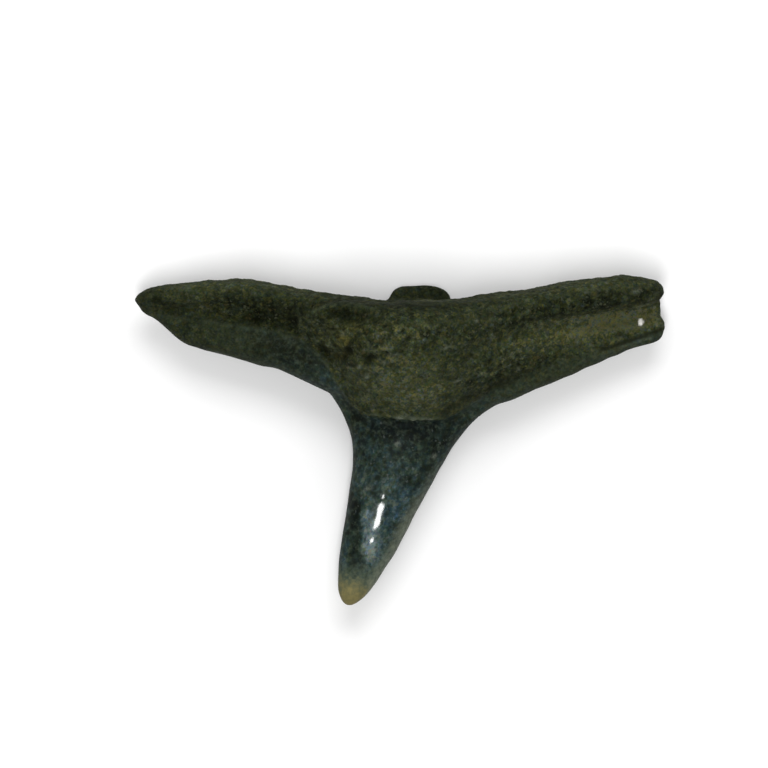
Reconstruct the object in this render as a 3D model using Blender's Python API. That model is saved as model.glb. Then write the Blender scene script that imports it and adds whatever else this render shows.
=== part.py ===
"""Fossil angel shark tooth, lying on the labial (outer) face of its crown.

The tooth grew as one piece, so it is one closed solid. Its forms are shaped in millimetres: a
two-lobed root, a crown with long low shoulders, one slender cusp and a labial apron. They are
fused by a voxel remesh, worked over with pits, grooves and ridges, and brought to metres.
X runs along the root, +Y points from the cusp to the root's base, +Z from the outer face that
the tooth lies on to the inner (lingual) face. The origin is on the flat worn spot under the
crown, at the height of the surface that the tooth lies on.
"""

import math

import bmesh
import bpy
from mathutils import Matrix, Vector, noise
from mathutils.geometry import intersect_point_line

MM = 0.001

# The root's basal ridge, the thick bar along its base.
# Each station is: x, lowest y, highest y, lowest z, highest z.
BASAL_RIDGE = [
    (-6.54, 0.82, 1.36, 0.75, 1.50),
    (-5.60, 0.92, 1.50, 0.62, 1.92),
    (-4.30, 1.02, 1.60, 0.50, 2.26),
    (-3.50, 0.94, 1.57, 0.45, 2.44),
    (-2.50, 0.68, 1.36, 0.45, 2.75),
    (-1.30, 0.25, 1.20, 0.50, 3.25),
    (0.00, 0.10, 1.08, 0.60, 3.55),
    (1.30, 0.15, 1.11, 0.60, 3.45),
    (2.50, 0.32, 1.25, 0.50, 3.10),
    (3.90, 0.60, 1.52, 0.42, 2.70),
    (5.30, 0.86, 1.70, 0.45, 2.40),
    (6.10, 1.00, 1.63, 0.55, 2.15),
    (6.52, 1.12, 1.53, 0.75, 1.90),
]

# The thinner plate of the root between the basal ridge and the crown, the floor of the channel.
ROOT_PLATE = [
    (-6.05, 0.62, 1.20, 0.72, 1.15),
    (-4.90, 0.40, 1.30, 0.50, 1.36),
    (-3.50, 0.25, 1.30, 0.42, 1.45),
    (-2.50, 0.04, 1.20, 0.40, 1.70),
    (-1.60, -0.62, 1.08, 0.35, 2.05),
    (-1.10, -1.46, 1.00, 0.35, 2.14),
    (-0.60, -1.80, 0.95, 0.38, 2.16),
    (0.40, -1.88, 0.95, 0.40, 2.18),
    (1.10, -1.84, 0.95, 0.40, 2.20),
    (1.60, -1.58, 1.00, 0.38, 2.20),
    (2.40, -1.08, 1.05, 0.35, 2.14),
    (3.90, -0.40, 1.30, 0.35, 1.72),
    (5.00, 0.02, 1.35, 0.35, 1.36),
    (6.46, 0.45, 1.25, 0.50, 1.05),
]

# The inner face of the left lobe, which falls from the basal ridge to the groove.
LEFT_SLOPE = [
    (-6.20, 0.82, 1.20, 0.70, 1.25),
    (-5.40, 0.68, 1.35, 0.60, 1.60),
    (-4.40, 0.58, 1.46, 0.50, 1.95),
    (-3.50, 0.34, 1.44, 0.45, 2.12),
    (-2.70, 0.10, 1.28, 0.45, 2.30),
    (-2.10, -0.10, 1.12, 0.45, 2.50),
]

# The swollen middle of the root, which leans towards its base and falls away to the neck.
ROOT_BODY = [
    (-2.80, 0.30, 0.95, 0.60, 1.70),
    (-2.35, 0.10, 1.02, 0.60, 2.70),
    (-1.90, -0.25, 1.04, 0.60, 3.35),
    (-1.36, -0.86, 1.04, 0.60, 3.75),
    (-0.80, -1.46, 1.00, 0.60, 3.98),
    (0.00, -1.72, 0.97, 0.60, 4.08),
    (0.80, -1.74, 0.97, 0.60, 3.98),
    (1.50, -1.52, 0.99, 0.60, 3.68),
    (2.30, -1.12, 1.04, 0.50, 3.20),
    (3.20, -0.76, 1.08, 0.45, 2.62),
    (4.20, -0.30, 1.14, 0.40, 2.02),
    (5.30, 0.10, 1.20, 0.40, 1.40),
]

# The crown's enamel shoulders, the rounded rim that follows the root's lower edge.
SHOULDERS = [
    (-6.40, 0.82, 1.00, 0.85, 1.15),
    (-6.10, 0.68, 0.94, 0.70, 1.25),
    (-5.75, 0.42, 0.86, 0.60, 1.38),
    (-5.38, 0.07, 0.80, 0.52, 1.50),
    (-5.00, -0.08, 0.76, 0.45, 1.60),
    (-4.27, -0.27, 0.68, 0.38, 1.70),
    (-3.53, -0.46, 0.58, 0.32, 1.76),
    (-2.79, -0.70, 0.42, 0.27, 1.80),
    (-2.05, -1.03, 0.10, 0.20, 1.85),
    (-1.00, -1.40, -0.40, 0.15, 1.80),
    (1.40, -1.55, -0.70, 0.15, 1.75),
    (2.37, -1.47, -0.60, 0.18, 1.70),
    (3.00, -1.25, -0.46, 0.22, 1.62),
    (3.75, -0.94, -0.16, 0.26, 1.54),
    (4.61, -0.56, 0.14, 0.30, 1.46),
    (5.35, -0.24, 0.36, 0.34, 1.40),
    (6.10, 0.00, 0.56, 0.42, 1.32),
    (6.56, 0.16, 0.76, 0.50, 1.22),
]

# The cusp, from inside the root down to its tip. Each station is: distance down from the origin,
# left x, right x, lowest z, highest z.
CUSP = [
    (0.50, -1.90, 2.80, 0.20, 1.75),
    (1.16, -1.72, 2.78, 0.14, 1.75),
    (1.46, -1.54, 2.40, 0.11, 1.74),
    (1.75, -1.40, 1.97, 0.09, 1.73),
    (2.34, -1.20, 1.44, 0.07, 1.72),
    (2.94, -1.18, 1.07, 0.08, 1.71),
    (3.53, -1.24, 0.74, 0.12, 1.68),
    (4.12, -1.33, 0.41, 0.20, 1.62),
    (4.71, -1.43, 0.12, 0.32, 1.56),
    (5.30, -1.52, -0.21, 0.48, 1.50),
    (5.90, -1.55, -0.60, 0.68, 1.46),
    (6.47, -1.50, -1.04, 0.84, 1.42),
]

# Each bar is: its stations, the length that rounds off at its start and at its end, how square
# its section is (2 is round), how far its top leans towards +Y, how far up it is widest, and
# whether it runs down -Y.
BARS = [
    (BASAL_RIDGE, 0.55, 0.40, 2.5, 0.0, 0.5, False),
    (ROOT_PLATE, 0.40, 0.15, 3.4, 0.0, 0.5, False),
    (LEFT_SLOPE, 0.60, 0.40, 1.8, 0.45, 0.5, False),
    (ROOT_BODY, 0.50, 1.00, 1.70, 0.55, 0.36, False),
    (SHOULDERS, 0.15, 0.20, 2.4, 0.0, 0.5, False),
    (CUSP, 0.60, 0.42, 2.1, 0.0, 0.5, True),
]

# The lumps on the outer face, an apron and a low boss: centre, radii, squareness.
LUMPS = [
    ((0.50, 0.70, 0.46), (0.79, 0.77, 0.44), 3.8),
    ((0.20, -0.15, 0.84), (2.10, 1.30, 1.00), 2.0),
]

BALL_SEGMENTS = 40
BALL_RINGS = 72
FUSING_VOXEL = 0.08
FUSING_STRENGTH = 0.5
FUSING_PASSES = 4
TRIANGLES = 9400

# Hollows and pits that open on the inner face: x, y, long radius, short radius, turn of the long
# radius from X in degrees, depth. The first are the wide hollow left of the middle, the trough
# under its arched rim and the pocket in its lower corner.
LINGUAL_PITS = [
    (-1.35, 0.28, 0.92, 0.74, 0, 0.36),
    (-1.25, 0.66, 0.78, 0.22, -6, 0.28),
    (-1.62, -0.20, 0.50, 0.24, -20, 0.28),
    (-0.80, -0.34, 0.34, 0.22, 25, 0.22),
    (-1.22, -0.14, 0.34, 0.20, 30, 0.16),
    (-2.62, 0.42, 0.45, 0.30, -20, 0.20),
    (-3.60, 0.72, 0.70, 0.24, -8, 0.16),
    (0.62, -0.22, 0.26, 0.16, 30, 0.10),
]

# The same on the flat base of the root: x, z, long radius, short radius, turn, depth. They are the
# middle's wide hollow, its foramina, a furrow along each lobe, and low swells with depths below 0.
BASAL_PITS = [
    (0.10, 1.95, 1.15, 0.80, 0, 0.18),
    (0.10, 1.90, 0.26, 0.21, 10, 0.36),
    (-0.86, 1.32, 0.24, 0.17, 30, 0.22),
    (1.02, 2.42, 0.22, 0.16, -20, 0.20),
    (-2.60, 1.45, 0.27, 0.19, 15, 0.22),
    (3.10, 1.50, 0.25, 0.18, -10, 0.22),
    (-4.75, 1.50, 0.20, 0.15, 0, 0.16),
    (-3.70, 0.92, 2.00, 0.20, 4, 0.16),
    (3.95, 0.98, 2.20, 0.20, -3, 0.16),
    (-2.00, 2.25, 1.20, 0.22, 28, -0.05),
    (2.30, 2.20, 1.30, 0.24, -18, -0.05),
]

# Lines on the inner face, followed by what is pressed in along them: width and depth. A ridge
# has a depth below zero.
RIGHT_ENAMEL_LINE = [(1.30, -1.80), (2.22, -1.18), (3.95, -0.42), (4.93, -0.05), (6.50, 0.42)]
LEFT_ENAMEL_LINE = [
    (-6.04, 0.72), (-4.93, 0.57), (-3.95, 0.44), (-3.21, 0.33), (-2.47, 0.14), (-1.97, -0.26),
    (-1.60, -0.66), (-1.36, -1.02), (-1.16, -1.46),
]
NECK_LINE = [(-1.20, -1.62), (-0.70, -1.90), (0.40, -1.98), (1.20, -1.94), (1.60, -1.74)]
HOLLOW_RIM = [
    (-2.30, -0.05), (-2.52, 0.30), (-2.42, 0.66), (-2.05, 0.88), (-1.60, 0.98), (-0.90, 1.00),
    (-0.30, 0.92),
]
RIGHT_CHANNEL = [(1.73, -0.16), (2.47, 0.10), (3.95, 0.46), (5.43, 0.72), (6.50, 0.92)]
LINES = [
    (RIGHT_ENAMEL_LINE, 0.26, 0.12),
    (LEFT_ENAMEL_LINE, 0.17, -0.07),
    (NECK_LINE, 0.22, 0.08),
    (HOLLOW_RIM, 0.20, -0.08),
    (RIGHT_CHANNEL, 0.42, 0.14),
]

# Uneven swellings over the whole tooth: the size of a swelling and its height.
SWELLINGS = [(0.90, 0.045), (0.38, 0.030)]
CUSP_TOP = -1.8
CUSP_SHARE = 0.3
BASE_FACING = 0.5
CUT_TOLERANCE = 1e-6

STONE_COLOUR = (0.046, 0.055, 0.030, 1.0)
STONE_ROUGHNESS = 0.62


def clear_scene():
    for old in list(bpy.data.objects):
        bpy.data.objects.remove(old)


def curve_at(stations, column, place):
    """The value of one column at a place, on a smooth curve through the stations."""
    places = [station[0] for station in stations]
    values = [station[column] for station in stations]
    last = len(places) - 1
    k = max(i for i in range(last) if i == 0 or places[i] <= place)

    def slope(i):
        before, after = max(i - 1, 0), min(i + 1, last)
        return (values[after] - values[before]) / (places[after] - places[before])

    gap = places[k + 1] - places[k]
    t = min(max((place - places[k]) / gap, 0.0), 1.0)
    start, end = values[k], values[k + 1]
    return (
        (2 * t**3 - 3 * t**2 + 1) * start
        + (t**3 - 2 * t**2 + t) * gap * slope(k)
        + (3 * t**2 - 2 * t**3) * end
        + (t**3 - t**2) * gap * slope(k + 1)
    )


def squared(value, squareness):
    """A sine or cosine bent towards a rounded square."""
    return math.copysign(abs(value) ** (2 / squareness), value)


def blunting(distance, blunt):
    """How much of the bar's full section is left this far from its end."""
    if distance >= blunt:
        return 1.0
    return math.sqrt(max(0.0, 1 - (1 - distance / blunt) ** 2))


def bar(bm, stations, blunt_start, blunt_end, squareness, lean, waist, downwards):
    """A ball drawn out along the stations, along X or down -Y, with blunt rounded ends."""
    ball = bmesh.ops.create_uvsphere(
        bm, u_segments=BALL_SEGMENTS, v_segments=BALL_RINGS, radius=1.0
    )
    first, last = stations[0][0], stations[-1][0]
    for vert in ball["verts"]:
        place = first + (last - first) * (vert.co.z + 1) / 2
        low, high, floor, roof = (curve_at(stations, c, place) for c in (1, 2, 3, 4))
        ends = blunting(place - first, blunt_start) * blunting(last - place, blunt_end)
        angle = math.atan2(vert.co.y, vert.co.x)
        up = squared(math.sin(angle), squareness) * ends
        across = squared(math.cos(angle), squareness) * ends + lean * max(up, 0.0)
        side = (low + high) / 2 + (high - low) / 2 * across
        widest = floor + (roof - floor) * waist
        height = widest + (roof - widest if up > 0 else widest - floor) * up
        vert.co = (side, -place, height) if downwards else (place, side, height)


def lump(bm, centre, radii, squareness):
    """An ellipsoid, or a rounded box where squareness is above 2."""
    ball = bmesh.ops.create_uvsphere(
        bm, u_segments=BALL_SEGMENTS, v_segments=BALL_SEGMENTS, radius=1.0
    )
    for vert in ball["verts"]:
        total = sum(abs(c) ** squareness for c in vert.co) ** (1 / squareness)
        vert.co = Vector(
            middle + radius * c / total
            for middle, radius, c in zip(centre, radii, vert.co)
        )


def rough_forms():
    """The root and crown as overlapping closed forms in one mesh, in millimetres."""
    bm = bmesh.new()
    for spec in BARS:
        bar(bm, *spec)
    for spec in LUMPS:
        lump(bm, *spec)
    bmesh.ops.recalc_face_normals(bm, faces=bm.faces)
    mesh = bpy.data.meshes.new("tooth_forms")
    bm.to_mesh(mesh)
    bm.free()
    return mesh


def applied(obj):
    """The object's mesh with its modifiers applied, and the modifiers removed."""
    graph = bpy.context.evaluated_depsgraph_get()
    mesh = bpy.data.meshes.new_from_object(obj.evaluated_get(graph))
    obj.modifiers.clear()
    obj.data = mesh
    return mesh


def fuse(obj):
    """Joins the overlapping forms into one skin, and softens the creases between them."""
    remesh = obj.modifiers.new("fuse", "REMESH")
    remesh.mode = "VOXEL"
    remesh.voxel_size = FUSING_VOXEL
    soften = obj.modifiers.new("soften", "SMOOTH")
    soften.factor = FUSING_STRENGTH
    soften.iterations = FUSING_PASSES
    applied(obj)


def falloff(share):
    """1 in the middle, 0 where the share of the radius reaches 1, smooth between."""
    left = max(0.0, 1 - share**2)
    return left * left


def oval(right, up, long_radius, short_radius, turn):
    """How far out a point is in a turned oval, as a share of its radius."""
    cosine, sine = math.cos(math.radians(turn)), math.sin(math.radians(turn))
    along = (right * cosine + up * sine) / long_radius
    across = (up * cosine - right * sine) / short_radius
    return math.hypot(along, across)


def press_pits(bm):
    """Foramina and worn hollows, pressed in from the inner face and from the root's base."""
    for x, y, long_radius, short_radius, turn, depth in LINGUAL_PITS:
        for vert in bm.verts:
            if vert.normal.z > 0:
                out = oval(vert.co.x - x, vert.co.y - y, long_radius, short_radius, turn)
                vert.co.z -= depth * falloff(out)
    for x, z, long_radius, short_radius, turn, depth in BASAL_PITS:
        for vert in bm.verts:
            if vert.normal.y > BASE_FACING:
                out = oval(vert.co.x - x, vert.co.z - z, long_radius, short_radius, turn)
                vert.co.y -= depth * falloff(out)


def from_line(place, line):
    """How far a point is from a line of points, seen from the inner face."""
    flat = Vector((place.x, place.y))
    nearest = math.inf
    for start, end in zip(line, line[1:]):
        foot, share = intersect_point_line(flat, Vector(start), Vector(end))
        if share < 0:
            foot = Vector(start)
        elif share > 1:
            foot = Vector(end)
        nearest = min(nearest, (flat - foot.xy).length)
    return nearest


def press_lines(bm):
    """The grooves and the fine ridge where the root meets the crown, and the root's channel."""
    for line, width, depth in LINES:
        for vert in bm.verts:
            if vert.normal.z > 0:
                vert.co.z -= depth * falloff(from_line(vert.co, line) / width)


def roughen(bm):
    """Slow uneven swellings over the whole tooth, fainter on the cusp."""
    for size, height in SWELLINGS:
        for vert in bm.verts:
            share = 1.0 if vert.co.y > CUSP_TOP else CUSP_SHARE
            vert.co += vert.normal * noise.noise(vert.co / size) * height * share


def cut_resting_spot(bm):
    """Cuts the flat worn spot that the tooth lies on, at z = 0."""
    cut = bmesh.ops.bisect_plane(
        bm,
        geom=bm.verts[:] + bm.edges[:] + bm.faces[:],
        dist=CUT_TOLERANCE,
        plane_co=(0, 0, 0),
        plane_no=(0, 0, -1),
        clear_outer=True,
    )
    rim = [e for e in cut["geom_cut"] if isinstance(e, bmesh.types.BMEdge)]
    bmesh.ops.contextual_create(bm, geom=rim)


def shape(obj, work):
    """Runs a piece of mesh work on the object."""
    bm = bmesh.new()
    bm.from_mesh(obj.data)
    bm.normal_update()
    work(bm)
    bm.to_mesh(obj.data)
    bm.free()


def thin_out(obj):
    """Fewer triangles, kept where the form bends."""
    faces = sum(len(p.vertices) - 2 for p in obj.data.polygons)
    decimate = obj.modifiers.new("thin out", "DECIMATE")
    decimate.ratio = TRIANGLES / faces
    applied(obj)


def stone():
    """Dark olive-grey fossil stone."""
    material = bpy.data.materials.new("fossil_tooth")
    material.use_nodes = True
    shader = material.node_tree.nodes["Principled BSDF"]
    shader.inputs["Base Color"].default_value = STONE_COLOUR
    shader.inputs["Roughness"].default_value = STONE_ROUGHNESS
    shader.inputs["Metallic"].default_value = 0.0
    return material


def build_tooth():
    tooth = bpy.data.objects.new("tooth", rough_forms())
    bpy.context.scene.collection.objects.link(tooth)
    fuse(tooth)
    shape(tooth, press_pits)
    shape(tooth, press_lines)
    shape(tooth, roughen)
    thin_out(tooth)
    shape(tooth, cut_resting_spot)
    tooth.data.transform(Matrix.Scale(MM, 4))
    tooth.data.materials.clear()
    tooth.data.materials.append(stone())
    tooth.data.shade_smooth()
    return tooth


clear_scene()
build_tooth()
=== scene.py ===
"""The looks of a fossil angel shark tooth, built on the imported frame.

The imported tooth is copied, meshed evenly and worked over in millimetres: grains, pores, the
ledge where the root meets the enamel, the hollow and its pits. What each place is made of is
painted on the mesh as attributes, and one material turns them into stone and enamel.

Places and sizes are in millimetres, except where a comment says metres: X runs to the
photograph's right, Y to its top and Z towards its camera.
"""

import math
from types import SimpleNamespace

import bmesh
import bpy
import numpy as np
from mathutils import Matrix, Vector, noise


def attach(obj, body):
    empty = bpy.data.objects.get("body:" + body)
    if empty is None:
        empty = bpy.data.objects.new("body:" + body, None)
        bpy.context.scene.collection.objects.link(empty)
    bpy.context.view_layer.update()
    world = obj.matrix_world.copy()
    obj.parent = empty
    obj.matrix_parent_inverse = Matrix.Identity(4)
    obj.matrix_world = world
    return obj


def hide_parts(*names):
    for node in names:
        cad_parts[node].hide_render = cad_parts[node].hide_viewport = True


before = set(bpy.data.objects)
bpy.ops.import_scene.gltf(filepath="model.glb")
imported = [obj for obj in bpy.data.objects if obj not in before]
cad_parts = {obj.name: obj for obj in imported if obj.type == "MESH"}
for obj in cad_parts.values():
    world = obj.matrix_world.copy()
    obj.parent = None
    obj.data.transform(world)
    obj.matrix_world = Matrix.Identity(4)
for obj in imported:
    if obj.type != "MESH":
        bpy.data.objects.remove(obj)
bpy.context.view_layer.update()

PER_METRE = 1000.0
MERGE = 1e-7

# The photograph is taken as 768 pixels square, 18.95 mm across at the height of the tooth.
VIEW_WIDTH = 18.95
VIEW_TARGET = Vector((-0.395, -0.962, 1.5))
VIEW_DISTANCE = 250.0
SENSOR = 36.0
# Half of the floor's width, in metres.
FLOOR_HALF = 0.30

# The soft lights: place, width, height and power. The pale room adds its own light.
UPPER_SOFTBOX = ((10, 150, 200), 160, 120, 0.30)
CAMERA_SOFTBOX = ((-6, -47, 215), 50, 80, 0.225)
ROOM_LIGHT = 0.45

SKIN_VOXEL = 0.044
SKIN_PASSES = 13
SKIN_STRENGTH = 0.5

# The line where root meets enamel on the inner face, from the left lobe to the right one.
ENAMEL_LINE = [
    (-6.90, 0.80), (-6.04, 0.72), (-4.93, 0.57), (-3.95, 0.44), (-3.21, 0.33), (-2.47, 0.14),
    (-1.95, -0.30), (-1.66, -0.72), (-1.46, -1.08), (-1.20, -1.48), (-0.92, -1.70),
    (-0.30, -1.79), (0.40, -1.83), (1.00, -1.83), (1.36, -1.70), (2.22, -1.16), (2.96, -0.76),
    (3.95, -0.44), (4.93, -0.14), (5.92, 0.17), (6.90, 0.46),
]
# The same line on the outer face, which climbs over the apron.
OUTER_LINE = [
    (-6.90, 0.95), (-5.00, 0.78), (-3.00, 0.62), (-1.20, 0.70), (-0.55, 1.00), (-0.30, 1.80),
    (1.30, 1.80), (1.55, 1.00), (2.20, 0.70), (4.00, 0.80), (6.90, 1.05),
]
INNER_FROM = 0.85
OUTER_BELOW = 0.55
APRON_TOP = 0.95
APRON_LEFT = -0.8
APRON_RIGHT = 1.8

# The lower edge of the dark rough flank above the right lobe's channel.
CHANNEL_EDGE = [
    (1.23, 0.12), (2.15, 0.35), (3.08, 0.58), (3.70, 0.64), (4.79, 0.79), (5.55, 0.93),
    (6.60, 1.12),
]

# Creases on the inner face, followed by their width, depth and darkness; the darkness is painted
# shade, with some dark sediment.
SHADED_CREASES = [
    ([(4.70, 1.20), (5.20, 1.26), (5.60, 1.30)], 0.08, 0.025, 0.40),
    ([(3.00, 0.62), (3.70, 0.70), (4.75, 0.82), (5.55, 0.98), (6.10, 1.12)], 0.05, 0.015, 0.40),
    ([(5.00, -0.10), (5.92, 0.18), (6.45, 0.38)], 0.055, 0.035, 0.85),
    ([(1.05, -1.68), (1.42, -1.48), (2.22, -1.04), (2.80, -0.74)], 0.13, 0.020, 0.46),
    ([(-1.97, -0.06), (-1.70, -0.28), (-1.46, -0.34), (-1.28, -0.18)], 0.10, 0.040, 0.45),
    ([(-1.90, 0.62), (-1.50, 0.74), (-1.28, 0.70)], 0.09, 0.040, 0.40),
    ([(-1.02, 0.74), (-0.79, 0.68), (-0.60, 0.54)], 0.12, 0.030, 0.30),
    ([(-2.62, 0.66), (-2.56, 0.20)], 0.07, 0.030, 0.45),
]
# Fine raised edges that catch the light, followed by their width, height and paleness; the
# paleness is partly the edges' pale crumbs and partly painted highlight.
LIT_EDGE_LINES = [
    (
        [(-2.48, 0.40), (-2.42, 0.66), (-2.10, 0.82), (-1.83, 0.92), (-1.38, 1.01), (-0.99, 0.95),
         (-0.60, 0.83)],
        0.048, 0.030, 0.35,
    ),
    (
        [(-4.90, 0.58), (-3.63, 0.40), (-3.03, 0.30), (-2.47, 0.14), (-1.98, -0.30),
         (-1.66, -0.74), (-1.46, -1.08)],
        0.050, 0.022, 0.28,
    ),
    ([(-0.70, -1.69), (-0.20, -1.75), (0.40, -1.78), (1.05, -1.78)], 0.050, 0.030, 0.60),
]

# Small pits on the inner face: x, y, radius, depth.
FORAMINA = [
    (-0.74, -0.32, 0.17, 0.07),
    (-1.26, -0.14, 0.11, 0.05),
    (-0.98, -0.06, 0.06, 0.05),
    (-0.32, -0.20, 0.07, 0.05),
    (0.15, 0.10, 0.08, 0.06),
    (2.22, -0.40, 0.09, 0.05),
    (-1.16, -4.92, 0.06, 0.04),
    (-1.17, -5.34, 0.15, 0.05),
]

# Small pits on the root's flat base: x, z, radius, depth.
BASE_FORAMINA = [
    (0.10, 1.90, 0.22, 0.08),
    (-0.86, 1.32, 0.17, 0.06),
    (1.02, 2.42, 0.16, 0.06),
    (-2.60, 1.45, 0.19, 0.06),
    (3.10, 1.50, 0.17, 0.06),
    (-4.75, 1.50, 0.14, 0.05),
    (5.10, 1.70, 0.11, 0.05),
    (-0.20, 2.90, 0.11, 0.05),
    (-1.70, 2.10, 0.10, 0.05),
    (2.10, 1.95, 0.10, 0.05),
    (4.10, 1.45, 0.09, 0.04),
    (-3.60, 1.75, 0.09, 0.04),
]
# The furrow along each lobe's base: the line in x and z, its width, depth and darkness; the
# darkness is painted shade, with some dark sediment.
BASE_FURROWS = [
    ([(-5.60, 0.84), (-3.70, 0.92), (-2.00, 1.02)], 0.12, 0.040, 0.50),
    ([(2.00, 1.06), (3.95, 0.98), (5.90, 0.88)], 0.12, 0.040, 0.50),
]
# Softer tones of the base: x, z, long radius, short radius, turn in degrees, amount.
BASE_PATCHES = [
    (0.10, 1.95, 1.10, 0.75, 0, -0.08),
    (-2.20, 2.20, 1.60, 0.30, 26, 0.24),
    (2.40, 2.25, 1.60, 0.30, -18, 0.24),
    (-4.60, 1.25, 1.50, 0.26, 6, 0.18),
    (4.80, 1.30, 1.60, 0.26, -4, 0.18),
]

# The tiny raised bead in the right lobe's channel, painted white as a painted glint: x, y, half
# width, half length.
GLINT_GRAIN = (5.95, 0.56, 0.055, 0.085)

# Pale flecks that catch the eye: x, y, half length, half width, turn in degrees, amount.
PALE_FLECKS = [
    (-0.99, -0.53, 0.05, 0.04, 0, 0.7),
    (-0.80, -0.78, 0.05, 0.03, 20, 0.9),
    (-0.10, -0.25, 0.06, 0.04, 30, 0.5),
    (-0.40, -0.44, 0.06, 0.04, 10, 0.5),
    (1.13, -0.07, 0.10, 0.03, 30, 0.5),
    (1.41, -0.86, 0.12, 0.03, 20, 0.5),
    (1.87, 0.59, 0.05, 0.04, 0, 0.5),
    (2.91, -0.60, 0.05, 0.04, 0, 0.5),
    (4.37, 0.08, 0.05, 0.08, 0, 0.4),
    (5.80, 1.32, 0.09, 0.05, 10, 0.5),
    (-1.38, 0.28, 0.07, 0.05, 0, 0.4),
    (0.00, -1.76, 0.10, 0.05, 0, 0.9),
    (0.35, -1.80, 0.07, 0.06, 0, 0.8),
    (0.67, -1.80, 0.12, 0.04, 0, 0.9),
    (0.19, -1.72, 0.06, 0.04, 0, 0.5),
    (-0.06, -2.44, 0.08, 0.06, 70, 0.7),
    (0.84, -2.74, 0.07, 0.05, 40, 0.7),
    (-0.42, -3.70, 0.06, 0.04, 50, 0.6),
    (-0.80, -3.54, 0.11, 0.05, 30, 0.7),
]

# Rusty stains: x, y, long radius, short radius, turn in degrees, amount.
RUST_PATCHES = [
    (-1.40, 0.22, 0.12, 0.08, 60, 0.9),
    (-1.33, 0.07, 0.12, 0.08, 60, 1.0),
    (-1.11, 0.43, 0.14, 0.09, 0, 0.6),
    (-1.60, 0.25, 0.28, 0.20, 0, 0.2),
    (-1.48, -0.28, 0.14, 0.08, 0, 0.6),
    (1.87, -0.25, 0.08, 0.05, 45, 0.5),
    (2.34, -0.44, 0.08, 0.05, 30, 0.5),
    (0.14, 0.42, 0.06, 0.05, 0, 0.5),
    (6.03, 0.58, 0.12, 0.12, 0, 0.7),
]

# Patches on the inner face: x, y, long radius, short radius, turn in degrees, amount.
ROUGH_PATCHES = [
    (-0.20, 0.25, 1.10, 0.50, 0, 0.45),
    (-1.40, 0.10, 0.90, 0.60, 0, 0.35),
    (4.00, 0.82, 2.40, 0.26, 9, 0.45),
    (-3.70, 0.88, 1.60, 0.36, -9, 0.45),
    (2.60, -0.50, 1.60, 0.45, 22, 0.35),
    (0.60, -1.15, 1.30, 0.55, 0, -0.20),
    (4.90, 0.45, 1.50, 0.24, 12, -0.12),
    (-4.60, 1.42, 1.90, 0.16, -2, -0.25),
    (0.30, 1.05, 1.60, 0.18, 0, -0.35),
    (-4.90, 1.00, 0.80, 0.28, 0, -0.25),
    (-4.60, 0.62, 1.20, 0.20, -8, -0.25),
]
# Tones of the root's inner face: x, y, long radius, short radius, turn in degrees, amount. Some
# are painted shade, in the left lobe's groove and under the hollow's rim, and one is painted light
# on the channel's shaded wall.
ROOT_TONE = 0.52
ROOT_TONE_AND_SHADING_PATCHES = [
    (-4.40, 1.44, 2.00, 0.16, -2, 0.16),
    (-4.90, 1.02, 0.90, 0.24, 0, 0.06),
    (-4.20, 0.52, 0.80, 0.12, -8, -0.08),
    (-3.55, 0.92, 1.10, 0.34, -9, -0.21),
    (-3.00, 0.62, 0.60, 0.26, -9, -0.12),
    (-1.22, 0.68, 0.75, 0.15, -4, -0.19),
    (-1.45, 0.26, 0.42, 0.30, 0, 0.01),
    (-3.58, 0.62, 0.26, 0.18, -20, -0.22),
    (-2.69, 0.67, 0.14, 0.26, 0, -0.20),
    (-5.70, 1.00, 0.50, 0.13, -14, -0.14),
    (5.10, 1.18, 1.30, 0.16, 8, -0.09),
    (4.60, 1.45, 1.60, 0.14, 6, 0.10),
    (-3.60, 1.10, 0.90, 0.14, -9, -0.06),
    (-1.54, -0.28, 0.40, 0.12, -18, -0.22),
    (-1.27, -0.14, 0.14, 0.12, 0, -0.20),
    (-0.74, -0.32, 0.20, 0.14, 0, -0.12),
    (-6.20, 1.15, 0.50, 0.40, 0, -0.13),
    (-0.05, 0.20, 0.70, 0.40, 0, 0.08),
    (-0.20, -0.65, 1.00, 0.50, 0, 0.22),
    (0.30, -1.35, 1.00, 0.40, 0, 0.25),
    (1.40, -0.60, 0.80, 0.50, 0, 0.04),
    (1.63, -0.63, 0.16, 0.36, 0, -0.12),
    (0.50, 0.95, 1.20, 0.18, 0, -0.26),
    (-1.40, 1.00, 0.90, 0.18, 0, -0.26),
    (4.00, 0.90, 2.50, 0.20, 9, -0.08),
    (4.88, 0.46, 1.60, 0.28, 12, 0.47),
    (4.70, 0.72, 0.95, 0.12, 10, 0.26),
    (5.92, 0.62, 0.42, 0.26, 12, 0.44),
    (1.20, -1.50, 0.36, 0.20, 30, -0.12),
    (1.70, 0.28, 0.80, 0.26, 0, -0.06),
    (3.00, -0.10, 1.40, 0.40, 18, 0.02),
    (2.40, -0.85, 1.00, 0.26, 25, -0.10),
]
# Tones of the enamel: x, y, long radius, short radius, turn in degrees, amount. Round the cusp's
# highlight they are raised as painted reflection, and under the root's lip at the neck lowered as
# painted shade.
ENAMEL_TONE = 0.38
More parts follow.
